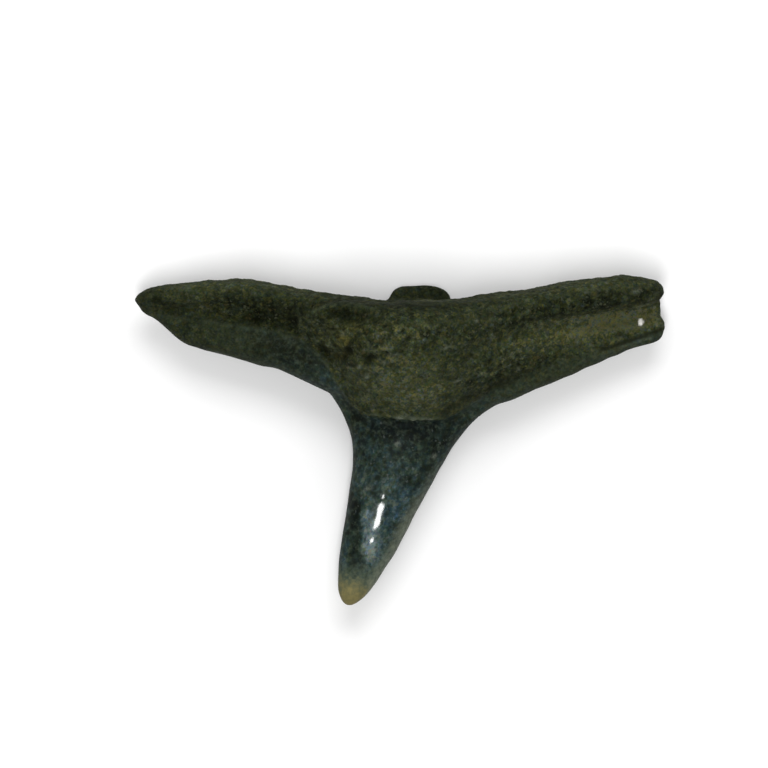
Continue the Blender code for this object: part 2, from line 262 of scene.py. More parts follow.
ENAMEL_TONE_AND_SHADING_PATCHES = [
    (-5.30, 0.26, 0.90, 0.28, -6, 0.05),
    (-3.10, -0.05, 0.95, 0.30, -18, -0.38),
    (3.90, -0.70, 1.90, 0.20, 22, 0.10),
    (5.75, 0.06, 0.80, 0.08, 20, 0.30),
    (0.20, -2.08, 1.05, 0.40, 0, -0.37),
    (-1.12, -1.60, 0.34, 0.15, -50, -0.24),
    (-1.00, -3.35, 0.36, 0.15, 95, 0.15),
    (-0.25, -3.55, 0.30, 0.28, 0, 0.11),
    (-0.86, -5.05, 0.22, 0.17, 0, 0.17),
    (-0.92, -2.84, 0.50, 0.16, 90, -0.08),
    (0.86, -2.54, 0.45, 0.26, 40, -0.16),
    (-0.62, -3.10, 0.70, 0.36, 80, 0.05),
    (0.40, -3.30, 0.85, 0.16, 62, -0.06),
    (-1.12, -4.45, 0.85, 0.12, 95, -0.34),
    (-1.03, -3.95, 0.26, 0.12, 80, -0.26),
    (-0.84, -4.12, 0.34, 0.08, 75, 0.34),
    (-0.66, -4.50, 0.58, 0.26, 75, 0.52),
    (-0.58, -4.98, 0.34, 0.24, 75, 0.16),
    (-0.14, -4.15, 0.50, 0.22, 62, 0.18),
    (-0.26, -4.05, 0.24, 0.06, 62, -0.20),
    (-0.02, -4.20, 0.14, 0.05, 62, -0.20),
    (-1.18, -5.05, 0.14, 0.10, 60, -0.26),
    (-0.66, -5.30, 0.40, 0.25, 60, 0.20),
]
# How far the shoulders' enamel has worn to the look of the root.
WORN_PATCHES = [
    (-5.30, 0.30, 1.70, 0.90, -8, 0.95),
    (3.70, -0.60, 1.50, 0.50, 22, 0.55),
]
# Where the stone looks yellower.
WARM_PATCHES = [
    (4.90, 0.46, 1.70, 0.32, 12, 0.6),
    (-1.25, 0.20, 0.50, 0.36, 0, 0.7),
    (0.00, -0.60, 1.20, 0.50, 0, 0.2),
    (-3.20, 0.80, 0.80, 0.30, -9, 0.6),
]
# How far the enamel has dulled to the root's olive.
DULL_PATCHES = [
    (-4.00, 0.00, 2.50, 0.60, -14, 1.00),
    (4.30, -0.50, 3.10, 0.70, 20, 1.15),
    (-1.15, -1.75, 0.45, 0.30, -50, 0.90),
]
# Where the enamel looks bluer; round the cusp's highlight the blue is partly painted reflection.
BLUE_PATCHES = [
    (-0.12, -4.15, 0.60, 0.24, 62, 1.0),
    (-3.20, -0.30, 1.80, 0.16, -16, 0.25),
]
# Where the cusp still has its polish, with how sharply the polish ends.
POLISH_PATCHES = [
    (-0.57, -4.21, 0.32, 0.15, 72, 1.30),
    (-0.71, -4.84, 0.060, 0.040, 72, 1.00),
    (-0.42, -3.75, 0.045, 0.032, 0, 0.85),
]
POLISH_FROM = 0.30
POLISH_FULL = 0.55

# The cusp's worn tan tip, its tan partly painted light shining through the thin enamel, starts
# at the first height and is full at the second one, both taken on the cusp's middle. The slope
# tilts those heights.
TIP_FROM = -5.18
TIP_FULL = -6.50
TIP_MIDDLE = -1.1
TIP_SLOPE = -0.20

# The right edge of the cusp, thin enough to let light through.
THIN_EDGE = [(1.30, -2.50), (0.67, -3.53), (0.15, -4.42), (-0.20, -5.15), (-0.69, -5.90)]
THIN_EDGE_WIDTH = 0.15
THIN_FROM = -2.6
THIN_FULL = -4.6

# Smooth noise over the skin: the size of its swells, and its seed.
SLOW_NOISE = (0.34, 1)
MIDDLE_NOISE = (0.17, 2)
FINE_NOISE = (0.095, 3)
GRAIN_NOISE = (0.13, 4)
CRUMBLE_NOISE = (0.10, 5)
ENAMEL_NOISE = (0.50, 6)
STREAK_NOISE = (0.20, 7)
STREAK_SQUEEZE = 0.4
BASE_NOISE = (0.80, 8)

# The relief. The sides that lie below or at the back are rougher than the inner face.
ROOT_SWELL = 0.016
UNDERSIDE_SWELL = 0.020
STREAK_HEIGHT = 0.012
MIDDLE_HEIGHT = 0.014
GRAIN_HEIGHT = 0.028
FINE_HEIGHT = 0.014
PORE_DEPTH = 0.030
UNDERSIDE_PORE = 0.020
ROOT_ROUGHNESS = 0.45
UNDERSIDE_ROUGHNESS = 0.85
ROOT_STAND = 0.015
LIP_STAND = 0.020
LIP_Y = -1.8
LIP_REACH = 0.3
FLANK_HEIGHT = 0.025
LEDGE_WIDTH = 0.07
LEDGE_DEPTH = 0.025
# The ledge is darkened as painted shade, with some dark sediment.
LEDGE_DARKNESS = 0.45
PIT_BEND = 0.07
PIT_RAGGED = 0.05
# Pits are darkened as painted shade, with some dark sediment.
PIT_DARKNESS = 0.95
FLECK_HEIGHT = 0.012
GLINT_GRAIN_HEIGHT = 0.03
ENAMEL_SWELL = 0.008

# The stone's pattern: sizes of its crystals and clouds, and how far each tints the colour.
STONE_COARSE = 0.085
STONE_FINE = 0.040
STONE_LUMPS = 0.17
STONE_CLOUDS = 0.26
STONE_MOTTLE = 0.14
COARSE_TINT = 0.55
FINE_TINT = 0.75
SLOPE_FLATNESS = 0.5

# The enamel's pattern, in the same way.
ENAMEL_BLOCKS = 0.10
ENAMEL_FINE = 0.045
ENAMEL_GRIT = 0.13
ENAMEL_CLOUDS = 0.21
DULL_CLOUDS = 0.24
ENAMEL_MOTTLE = 0.11
BLOCK_TINT = 0.80
SHADE_TINT = 0.60

# Runs of colours from dark to pale: the stone, the clean enamel and the dulled enamel.
STONE_COLOURS = [
    (0.00, (0.0030, 0.0042, 0.0015)),
    (0.25, (0.0093, 0.0124, 0.0048)),
    (0.50, (0.0205, 0.0262, 0.0114)),
    (0.75, (0.0400, 0.0485, 0.0230)),
    (1.00, (0.0800, 0.0880, 0.0480)),
]
ENAMEL_COLOURS = [
    (0.00, (0.0035, 0.0060, 0.0048)),
    (0.25, (0.0095, 0.0160, 0.0125)),
    (0.50, (0.0195, 0.0345, 0.0300)),
    (0.75, (0.0545, 0.0800, 0.0770)),
    (1.00, (0.1350, 0.1720, 0.1680)),
]
DULL_COLOURS = [
    (0.00, (0.0045, 0.0065, 0.0034)),
    (0.35, (0.0165, 0.0225, 0.0125)),
    (0.70, (0.0340, 0.0410, 0.0240)),
    (1.00, (0.0600, 0.0660, 0.0420)),
]
# A cool and a warm tint, by which single crystals differ.
STONE_TINTS = (0.80, 1.01, 1.44), (1.19, 0.99, 0.60)
ENAMEL_TINTS = (0.84, 0.99, 1.28), (1.14, 1.01, 0.68)
# Tints of whole areas.
YELLOWER = (1.08, 1.03, 0.78, 1.0)
BLUER = (0.88, 1.00, 1.30, 1.0)
# Colours of small things in the stone.
RUSTY_SPECK = (0.062, 0.050, 0.016, 1.0)
# Pale specks: partly pale crystals, partly painted glints of the sugary stone.
PALE_SPECK_GLINT = (0.084, 0.092, 0.056, 1.0)
RUST = (0.088, 0.080, 0.020, 1.0)
# Partly the pale crumbs of raised edges, partly painted highlight where they catch the light.
PALE_RIM_HIGHLIGHT = (0.075, 0.096, 0.055, 1.0)
# Painted shade, with some dark sediment, for the stone's pores, pits and creases.
STONE_HOLLOW_SHADE = (0.005, 0.006, 0.002, 1.0)
FLECK = (0.190, 0.210, 0.170, 1.0)
# A painted glint on the raised bead in the channel.
WHITE_GLINT = (0.95, 0.93, 0.88, 1.0)
# Colours of small things in the enamel, of the worn tip and of the thin edge; the tip's tans and
# the thin edge's colour are partly painted light shining through.
DARK_SPECK = (0.008, 0.012, 0.009, 1.0)
BRIGHT_SPECK = (0.150, 0.170, 0.160, 1.0)
# Painted shade, with some dark sediment, for the enamel's pits and creases.
ENAMEL_HOLLOW_SHADE = (0.007, 0.008, 0.004, 1.0)
TIP_GREY = (0.056, 0.072, 0.048, 1.0)
TIP_TANS = (0.106, 0.096, 0.038, 1.0), (0.204, 0.176, 0.072, 1.0)
THIN_COLOUR = (0.135, 0.153, 0.112, 1.0)

# The surfaces' finish. The bump's height is in metres.
ENAMEL_MATT = 0.55
STONE_MATT = 0.85
POLISH_MATT = 0.12
POLISH_IOR = 1.63
SPECULAR = 0.05
BUMP_STRENGTH = 0.6
BUMP_HEIGHT = 0.00003
FLOOR_COLOUR = (0.90, 0.90, 0.90, 1.0)


def eased(value, low, high):
    """0 where value is at low or beyond it, 1 at high, smooth between."""
    t = np.clip((value - low) / (high - low), 0.0, 1.0)
    return t * t * (3 - 2 * t)


def hump(value, width):
    """1 at zero, falling to nothing over about twice the width on both sides."""
    return np.exp(-((value / width) ** 2))


def beyond(x, y, line):
    """How far each point is above a line of points, below zero on its lower side."""
    nearest = np.full(len(x), np.inf)
    side = np.ones(len(x))
    for (x0, y0), (x1, y1) in zip(line, line[1:]):
        dx, dy = x1 - x0, y1 - y0
        t = np.clip(((x - x0) * dx + (y - y0) * dy) / (dx * dx + dy * dy), 0.0, 1.0)
        away = np.hypot(x - x0 - t * dx, y - y0 - t * dy)
        cross = dx * (y - y0) - dy * (x - x0)
        closer = away < nearest
        side = np.where(closer, np.where(cross < 0, -1.0, 1.0), side)
        nearest = np.where(closer, away, nearest)
    return nearest * side


def patched(x, y, start, patches):
    """A start value, raised or lowered by soft oval patches."""
    total = np.full(len(x), float(start))
    for px, py, long_radius, short_radius, turn, amount in patches:
        cosine, sine = math.cos(math.radians(turn)), math.sin(math.radians(turn))
        along = ((x - px) * cosine + (y - py) * sine) / long_radius
        across = ((y - py) * cosine - (x - px) * sine) / short_radius
        total += amount * np.exp(-(along**2) - across**2)
    return total


def wander(points, size, seed):
    """Smooth noise from about -1 to 1, whose swells are about this size."""
    shift = Vector((7.3, 3.1, 5.7)) * seed
    return np.array([noise.noise(p / size + shift) for p in points])


def grain_heights(points, size, seed):
    """Rounded grains of about this size, 0.5 at their middles and below zero between them."""
    shift = Vector((4.9, 8.3, 2.1)) * seed
    return np.array([0.5 - noise.voronoi(p / size + shift)[0][0] for p in points])


def even_skin(node):
    """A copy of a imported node, merged, evenly meshed and free of facets, in millimetres."""
    bm = bmesh.new()
    bm.from_mesh(node.data)
    bmesh.ops.remove_doubles(bm, verts=bm.verts, dist=MERGE)
    bmesh.ops.scale(bm, vec=(PER_METRE, PER_METRE, PER_METRE), verts=bm.verts)
    mesh = bpy.data.meshes.new("tooth_skin")
    bm.to_mesh(mesh)
    bm.free()
    skin = bpy.data.objects.new("tooth_skin", mesh)
    bpy.context.scene.collection.objects.link(skin)
    even = skin.modifiers.new("even", "REMESH")
    even.mode = "VOXEL"
    even.voxel_size = SKIN_VOXEL
    soften = skin.modifiers.new("soften", "SMOOTH")
    soften.factor = SKIN_STRENGTH
    soften.iterations = SKIN_PASSES
    graph = bpy.context.evaluated_depsgraph_get()
    fine = bpy.data.meshes.new_from_object(skin.evaluated_get(graph))
    skin.modifiers.clear()
    skin.data = fine
    fine.name = "tooth_skin"
    return skin


def coordinates(mesh):
    """The places and the outward directions of a mesh's points, as two arrays."""
    places = np.empty(len(mesh.vertices) * 3)
    mesh.vertices.foreach_get("co", places)
    outward = np.empty(len(mesh.vertices) * 3)
    mesh.vertex_normals.foreach_get("vector", outward)
    return places.reshape(-1, 3), outward.reshape(-1, 3)


def paint(mesh, name, values):
    """Stores one value for each point of a mesh, for the material to read."""
    layer = mesh.attributes.new(name, "FLOAT", "POINT")
    layer.data.foreach_set("value", np.clip(values, 0.0, 1.0).astype(np.float32))


def lines_at(u, v, lines, ragged, mask):
    """The depth and the strength of soft lines, where a mask lets them in."""
    depths, strengths = np.zeros(len(u)), np.zeros(len(u))
    for line, width, depth, strength in lines:
        near = hump(beyond(u, v, line) + ragged, width) * mask
        depths += depth * near
        strengths = np.maximum(strengths, strength * near)
    return depths, strengths


def pits_at(u, v, pits, bends, mask):
    """The depth and the strength of small ragged pits, where a mask lets them in."""
    bend_u, bend_v, ragged = bends
    depths, strengths = np.zeros(len(u)), np.zeros(len(u))
    for pit_u, pit_v, radius, depth in pits:
        away = np.hypot(u - pit_u + bend_u, v - pit_v + bend_v)
        inside = hump(away + ragged, radius * 0.8) * mask
        depths += depth * inside
        strengths = np.maximum(strengths, inside)
    return depths, strengths


def survey(mesh):
    """What is known of each point of the skin: its place, how it faces, noise and material."""
    at = SimpleNamespace()
    at.places, at.outward = coordinates(mesh)
    at.x, at.y, at.z = at.places.T
    at.points = [Vector(p) for p in at.places]
    squeezed = [Vector((p.x * STREAK_SQUEEZE, p.y, p.z)) for p in at.points]
    at.slow = wander(at.points, *SLOW_NOISE)
    at.streaked = wander(squeezed, *STREAK_NOISE)
    at.middle = wander(at.points, *MIDDLE_NOISE)
    at.fine = wander(at.points, *FINE_NOISE)
    at.grains = grain_heights(at.points, *GRAIN_NOISE)
    at.crumble = wander(at.points, *CRUMBLE_NOISE)

    # How far a point looks up, and how far it belongs to the base at the back.
    at.upper = eased(at.outward[:, 2], -0.1, 0.3)
    at.base = eased(at.outward[:, 1], 0.3, 0.7) * (1 - at.upper)

    # Above zero on the root, below zero on the enamel.
    inner = beyond(at.x, at.y, ENAMEL_LINE) + 0.035 * at.crumble
    at.outer = beyond(at.x, at.y, OUTER_LINE) + 0.05 * at.crumble
    at.inner_share = eased(at.z, OUTER_BELOW, INNER_FROM)
    onto_root = inner * at.inner_share + at.outer * (1 - at.inner_share)
    beside = (at.x > APRON_LEFT) & (at.x < APRON_RIGHT)
    at.apron = (at.y > APRON_TOP) & (at.z < APRON_TOP) & beside
    at.onto_root = np.where(at.apron, -1.0, onto_root)
    at.root = eased(at.onto_root, -0.03, 0.03)

    rough = np.clip(patched(at.x, at.y, ROOT_ROUGHNESS, ROUGH_PATCHES), 0.1, 1.0)
    at.rough = rough * at.upper + UNDERSIDE_ROUGHNESS * (1 - at.upper)
    return at


def raise_relief(mesh, at):
    """Gives the skin its relief, and notes where its pores, lines, pits and flecks are."""
    under = 1 - at.upper
    grainy = STREAK_HEIGHT * at.streaked + MIDDLE_HEIGHT * at.middle
    grainy += GRAIN_HEIGHT * at.grains + FINE_HEIGHT * at.fine
    swells = (ROOT_SWELL + UNDERSIDE_SWELL * under) * at.slow
    relief = at.root * (swells + at.rough * grainy)
    at.pores = at.root * at.rough * eased(at.fine + 0.6 * at.middle, 0.38, 0.80)
    relief -= (PORE_DEPTH + UNDERSIDE_PORE * under) * at.pores
    relief += (1 - at.root) * ENAMEL_SWELL * wander(at.points, *ENAMEL_NOISE)

    # The root stands a little above the enamel, most of all at the lip over the neck.
    stand = ROOT_STAND + LIP_STAND * hump(at.y - LIP_Y, LIP_REACH)
    relief += stand * eased(at.onto_root, -0.05, 0.06)

    # The rough flank above the right lobe's channel.
    step = beyond(at.x, at.y, CHANNEL_EDGE) + 0.04 * at.crumble
    flank = eased(step, -0.03, 0.05) * (1 - eased(step, 0.20, 0.50))
    at.flank = flank * eased(at.x, 1.4, 3.0) * at.upper
    relief += FLANK_HEIGHT * at.flank

    # Creases and raised edges on the inner face, the furrows of the base and the outer ledge. The
    # darkness of creases, furrows and ledge is painted shade, with some dark sediment; the edges'
    # paleness is partly painted highlight.
    depths, creases = lines_at(at.x, at.y, SHADED_CREASES, 0.03 * at.crumble, at.upper)
    broken = at.upper * eased(at.crumble + 0.5 * at.middle, -0.5, 0.2)
    heights, at.pale_lines = lines_at(at.x, at.y, LIT_EDGE_LINES, 0.02 * at.crumble, broken)
    furrow_depths, furrows = lines_at(at.x, at.z, BASE_FURROWS, 0.05 * at.crumble, at.base)
    ledge = hump(at.outer + 0.04 * at.middle, LEDGE_WIDTH)
    ledge *= (1 - at.inner_share) * (at.outward[:, 2] < 0)
    relief += heights - depths - furrow_depths - LEDGE_DEPTH * ledge
    at.dark_lines = np.maximum(np.maximum(creases, furrows), LEDGE_DARKNESS * ledge)

    # Foramina on the inner face and on the base.
    bends = (PIT_BEND * at.middle, PIT_BEND * at.slow, PIT_RAGGED * at.crumble)
    inner_depths, inner_pits = pits_at(at.x, at.y, FORAMINA, bends, at.upper)
    base_depths, base_pits = pits_at(at.x, at.z, BASE_FORAMINA, bends, at.base)
    relief -= inner_depths + base_depths
    at.pits = np.maximum(PIT_DARKNESS * inner_pits, base_pits)

    # Small things that stand out of the stone.
    flecks = patched(at.x + 0.03 * at.crumble, at.y + 0.03 * at.fine, 0.0, PALE_FLECKS)
    at.flecks = flecks * eased(at.z, 1.0, 1.3)
    relief += FLECK_HEIGHT * np.minimum(at.flecks, 1.0)
    grain_x, grain_y, half_width, half_length = GLINT_GRAIN
    away = np.hypot((at.x - grain_x) / half_width, (at.y - grain_y) / half_length)
    at.grain = eased(1.25 - away, 0.0, 0.4) * at.upper
    relief += GLINT_GRAIN_HEIGHT * at.grain

    mesh.vertices.foreach_set("co", (at.places + at.outward * relief[:, None]).ravel())
    mesh.update()


def paint_root(mesh, at):
    """Paints where the root's stone is, and what it looks like there."""
    stained = eased(at.outward[:, 2], -0.2, 0.2) * at.apron
    blurred = 0.03 + 0.07 * eased(np.abs(at.x - 0.1), 1.4, 2.6)
    worn = np.minimum(patched(at.x, at.y, 0.0, WORN_PATCHES), 0.9) * at.upper
    rooty = eased(at.onto_root / blurred, -1.0, 1.0)
    paint(mesh, "root", np.maximum(np.maximum(rooty, worn), stained))

    # The inner face's tone, with painted shade in the groove and under the hollow's rim and
    # painted light on the channel's wall.
    inner_tone_and_shading = patched(at.x, at.y, ROOT_TONE, ROOT_TONE_AND_SHADING_PATCHES)
    # The flank above the right channel is darkened as painted shade, as it faces away from the
    # light.
    inner_tone_and_shading -= 0.07 * at.flank + 0.14 * stained + 0.14 * worn * (1 - rooty)
    base_tone = patched(at.x, at.z, ROOT_TONE, BASE_PATCHES)
    base_tone += 0.20 * wander(at.points, *BASE_NOISE)
    paint(mesh, "root_tone_and_shading", inner_tone_and_shading * (1 - at.base) + base_tone * at.base)

    paint(mesh, "warm", patched(at.x, at.y, 0.0, WARM_PATCHES) * at.upper)
    paint(mesh, "rough", at.rough)
    paint(mesh, "facing_back", eased(at.outward[:, 1], 0.2, 0.6))
    # Painted shade, with some dark sediment, in pores, pits, creases, furrows and along the ledge.
    paint(mesh, "shade_and_sediment", 0.45 * at.pores + 0.85 * at.pits + at.dark_lines)
    # The raised edges' paleness: partly pale crumbs, partly painted highlight.
    paint(mesh, "rim", at.pale_lines)
    paint(mesh, "fleck", at.flecks)
    # Where the raised bead is painted white as a painted glint.
    paint(mesh, "grain", at.grain)
    rust = patched(at.x + 0.05 * at.crumble, at.y + 0.05 * at.fine, 0.0, RUST_PATCHES)
    paint(mesh, "rust", rust * at.upper)


def paint_enamel(mesh, at):
    """Paints the enamel's tones, its dull and blue places, its tip, thin edge and polish."""
    # Enamel tones, with painted reflection round the cusp's highlight and painted shade under the
    # root's lip.
    paint(mesh, "enamel_tone_and_shading", patched(at.x, at.y, ENAMEL_TONE, ENAMEL_TONE_AND_SHADING_PATCHES))
    beside_cusp = eased(np.abs(at.x - 0.1), 0.8, 1.6)
    paint(mesh, "dull", patched(at.x, at.y, 0.0, DULL_PATCHES) * beside_cusp)
    paint(mesh, "blue", patched(at.x, at.y, 0.0, BLUE_PATCHES) * at.upper)
    tip_height = at.y - TIP_SLOPE * (at.x - TIP_MIDDLE) + 0.10 * at.slow
    paint(mesh, "tip", eased(-tip_height, -TIP_FROM, -TIP_FULL))
    thin = hump(np.minimum(beyond(at.x, at.y, THIN_EDGE), 0.0), THIN_EDGE_WIDTH)
    thin *= eased(at.outward[:, 2], -0.45, 0.0) * eased(-at.y, -THIN_FROM, -THIN_FULL)
    paint(mesh, "thin", thin * eased(at.x, -1.1, -0.7))
    polish = patched(at.x + 0.04 * at.crumble, at.y + 0.04 * at.fine, 0.0, POLISH_PATCHES)
    polish = (1 - at.root) * eased(polish, POLISH_FROM, POLISH_FULL) * at.upper
    paint(mesh, "polish", polish)


def work_over(skin):
    """Gives the skin its relief, and paints what each place of it is made of."""
    mesh = skin.data
    at = survey(mesh)
    raise_relief(mesh, at)
    paint_root(mesh, at)
    paint_enamel(mesh, at)


def put(tree, kind, sockets=None, **settings):
    """Adds a shader node. Sockets maps an input to a value or to another node's output."""
    node = tree.nodes.new(kind)
    for name, value in settings.items():
        setattr(node, name, value)
    for key, value in (sockets or {}).items():
        if isinstance(value, bpy.types.NodeSocket):
            tree.links.new(value, node.inputs[key])
        else:
            node.inputs[key].default_value = value
    return node


def painted(tree, name):
    """The value painted on the mesh under a name."""
    return put(tree, "ShaderNodeAttribute", attribute_name=name).outputs["Fac"]


def maths(tree, operation, a, b=0.0, clamp=False):
    node = put(tree, "ShaderNodeMath", {0: a, 1: b}, operation=operation, use_clamp=clamp)
    return node.outputs[0]


def blended(tree, share, a, b, way="MIX"):
    """Two colours mixed by a share."""
    node = put(
        tree, "ShaderNodeMix", {0: share, 6: a, 7: b}, data_type="RGBA", blend_type=way,
        clamp_factor=True,
    )
    return node.outputs[2]


def spread(tree, value, low, high, to_low=0.0, to_high=1.0):
    """A value's stretch from low to high, drawn out to another range and held there."""
    sockets = {
        "Value": value, "From Min": low, "From Max": high, "To Min": to_low, "To Max": to_high,
    }
    return put(tree, "ShaderNodeMapRange", sockets, clamp=True).outputs["Result"]


def colours(tree, value, stops):
    """A smooth run of colours, from a list of places and colours."""
    ramp = put(tree, "ShaderNodeValToRGB", {"Fac": value}).color_ramp
    while len(ramp.elements) < len(stops):
        ramp.elements.new(0.5)
    for element, (place, colour) in zip(ramp.elements, stops):
        element.position = place
        element.color = (*colour, 1.0)
    return tree.nodes[-1].outputs["Color"]


def shades(tree, texture):
    """Three separate values from a texture's colour."""
    return put(tree, "ShaderNodeSeparateColor", {"Color": texture.outputs["Color"]}).outputs


def vectors(tree, operation, sockets):
    return put(tree, "ShaderNodeVectorMath", sockets, operation=operation).outputs[0]


def specks_group():
    """Scattered uneven specks: a mask, for specks of a size that take up a share of the cells."""
    tree = bpy.data.node_groups.new("specks", "ShaderNodeTree")
    face = tree.interface
    face.new_socket("Vector", in_out="INPUT", socket_type="NodeSocketVector")
    for name, value in (("Size", 0.1), ("Share", 0.2)):
        face.new_socket(name, in_out="INPUT", socket_type="NodeSocketFloat").default_value = value
    face.new_socket("Mask", in_out="OUTPUT", socket_type="NodeSocketFloat")
    inputs = put(tree, "NodeGroupInput").outputs
    scale = maths(tree, "DIVIDE", 1.0, inputs["Size"])
    bend_scale = maths(tree, "MULTIPLY", scale, 1.6)
    sockets = {"Vector": inputs["Vector"], "Scale": bend_scale, "Detail": 2.0}
    ragged = put(tree, "ShaderNodeTexNoise", sockets).outputs["Color"]
    centred = vectors(tree, "SUBTRACT", {0: ragged, 1: (0.5,) * 3})
    reach = maths(tree, "MULTIPLY", inputs["Size"], 1.4)
    shift = vectors(tree, "SCALE", {0: centred, "Scale": reach})
    bent = vectors(tree, "ADD", {0: inputs["Vector"], 1: shift})
    cell = put(tree, "ShaderNodeTexVoronoi", {"Vector": bent, "Scale": scale})
    pick = shades(tree, cell)
    chosen = maths(tree, "LESS_THAN", pick["Red"], inputs["Share"])
    edge = spread(tree, pick["Green"], 0.0, 1.0, 0.22, 0.62)
    spot = maths(tree, "SUBTRACT", edge, cell.outputs["Distance"])
    spot = spread(tree, spot, 0.0, 0.25)
    mask = maths(tree, "MULTIPLY", chosen, spot)
    put(tree, "NodeGroupOutput", {"Mask": mask})
    return tree


def specks(tree, group, where, size, share):
    node = put(tree, "ShaderNodeGroup", node_tree=group)
    tree.links.new(where, node.inputs["Vector"])
    node.inputs["Size"].default_value = size
    node.inputs["Share"].default_value = share
    return node.outputs["Mask"]


def clouds(tree, where, size, detail=2.0, roughness=0.5):
    sockets = {"Vector": where, "Scale": 1.0 / size, "Detail": detail, "Roughness": roughness}
    return put(tree, "ShaderNodeTexNoise", sockets).outputs["Fac"]


def drawn_out(tree, where, turn, stretch):
    """Coordinates in which a pattern is drawn out along a direction, given in degrees from X."""
    rotation = (0.0, 0.0, math.radians(turn))
    sockets = {"Vector": where, "Rotation": rotation, "Scale": (stretch, 1.0, 1.0)}
    return put(tree, "ShaderNodeMapping", sockets, vector_type="TEXTURE").outputs[0]


def sugar(tree, where, size):
    """Fine crystals, each with its own shade: a texture whose Color is different in each."""
    return put(tree, "ShaderNodeTexVoronoi", {"Vector": where, "Scale": 1.0 / size})


def tinted(tree, share, colour, pick, cool, warm):
    """A colour made cooler or warmer by a random pick from 0 to 1."""
    tint = colours(tree, pick, [(0.0, cool), (0.5, (1.0, 1.0, 1.0)), (1.0, warm)])
    return blended(tree, share, colour, tint, "MULTIPLY")


def summed(tree, values):
    total = values[0]
    for value in values[1:]:
        total = maths(tree, "ADD", total, value)
    return total


def root_stone(tree, where, group, flatness):
    """Olive sugary stone: its colour and the height of its grains.

    A flatness under 1 draws the grains out in height, so that they look even on slopes seen
    from above.
    """
    rough = painted(tree, "rough")
    sockets = {"Vector": where, "Scale": (1.0, 1.0, flatness)}
    where = put(tree, "ShaderNodeMapping", sockets).outputs[0]
    along = drawn_out(tree, where, 6.0, 1.5)
    coarse, fine = sugar(tree, where, STONE_COARSE), sugar(tree, where, STONE_FINE)
    coarse_shade, fine_shade = shades(tree, coarse), shades(tree, fine)
    coarse_salt = spread(tree, coarse_shade["Red"], 0.0, 1.0, -0.17, 0.17)
    lumpy = spread(tree, clouds(tree, where, STONE_LUMPS, 3.0, 0.6), 0.35, 0.65, -0.17, 0.17)
    tone = summed(tree, [
        painted(tree, "root_tone_and_shading"),
        spread(tree, clouds(tree, along, STONE_CLOUDS, 5.0, 0.7), 0.3, 0.7, -0.16, 0.16),
        maths(tree, "MULTIPLY", lumpy, spread(tree, rough, 0.2, 0.8, 0.2, 1.3)),
        maths(tree, "MULTIPLY", coarse_salt, spread(tree, rough, 0.0, 1.0, 0.5, 1.3)),
        spread(tree, fine_shade["Red"], 0.0, 1.0, -0.10, 0.10),
    ])
    colour = colours(tree, tone, STONE_COLOURS)
    colour = blended(tree, STONE_MOTTLE, colour, fine.outputs["Color"], "OVERLAY")
    colour = tinted(tree, COARSE_TINT, colour, coarse_shade["Blue"], *STONE_TINTS)
    colour = tinted(tree, FINE_TINT, colour, fine_shade["Green"], *STONE_TINTS)
    colour = blended(tree, painted(tree, "warm"), colour, YELLOWER, "MULTIPLY")
    rusty_share = spread(tree, rough, 0.2, 0.8, 0.1, 0.5)
    rusty = maths(tree, "MULTIPLY", specks(tree, group, where, 0.10, 0.14), rusty_share)
    colour = blended(tree, rusty, colour, RUSTY_SPECK)
    # Pale specks, partly pale crystals and partly painted glints of the sugary stone.
    glint_speck_share = spread(tree, rough, 0.2, 0.8, 0.15, 0.45)
    pale = maths(tree, "MULTIPLY", specks(tree, group, where, 0.085, 0.14), glint_speck_share)
    colour = blended(tree, pale, colour, PALE_SPECK_GLINT)
    uneven = spread(tree, coarse_shade["Green"], 0.2, 0.8, 0.1, 1.0)
    stain = maths(tree, "MULTIPLY", painted(tree, "rust"), uneven)
    colour = blended(tree, stain, colour, RUST)
    # Raised edges paled, partly for their pale crumbs and partly as painted highlight.
    rim = maths(tree, "MULTIPLY", painted(tree, "rim"), 0.7)
    colour = blended(tree, rim, colour, PALE_RIM_HIGHLIGHT)
    # The stone darkened as painted shade, with some dark sediment, in pores, pits and creases.
    shade_and_sediment = maths(tree, "MULTIPLY", painted(tree, "shade_and_sediment"), 0.9)
    colour = blended(tree, shade_and_sediment, colour, STONE_HOLLOW_SHADE)
    crystals = maths(tree, "SUBTRACT", 1.0, coarse.outputs["Distance"])
    height = maths(tree, "MULTIPLY", maths(tree, "ADD", crystals, fine_shade["Blue"]), rough)
    return colour, height


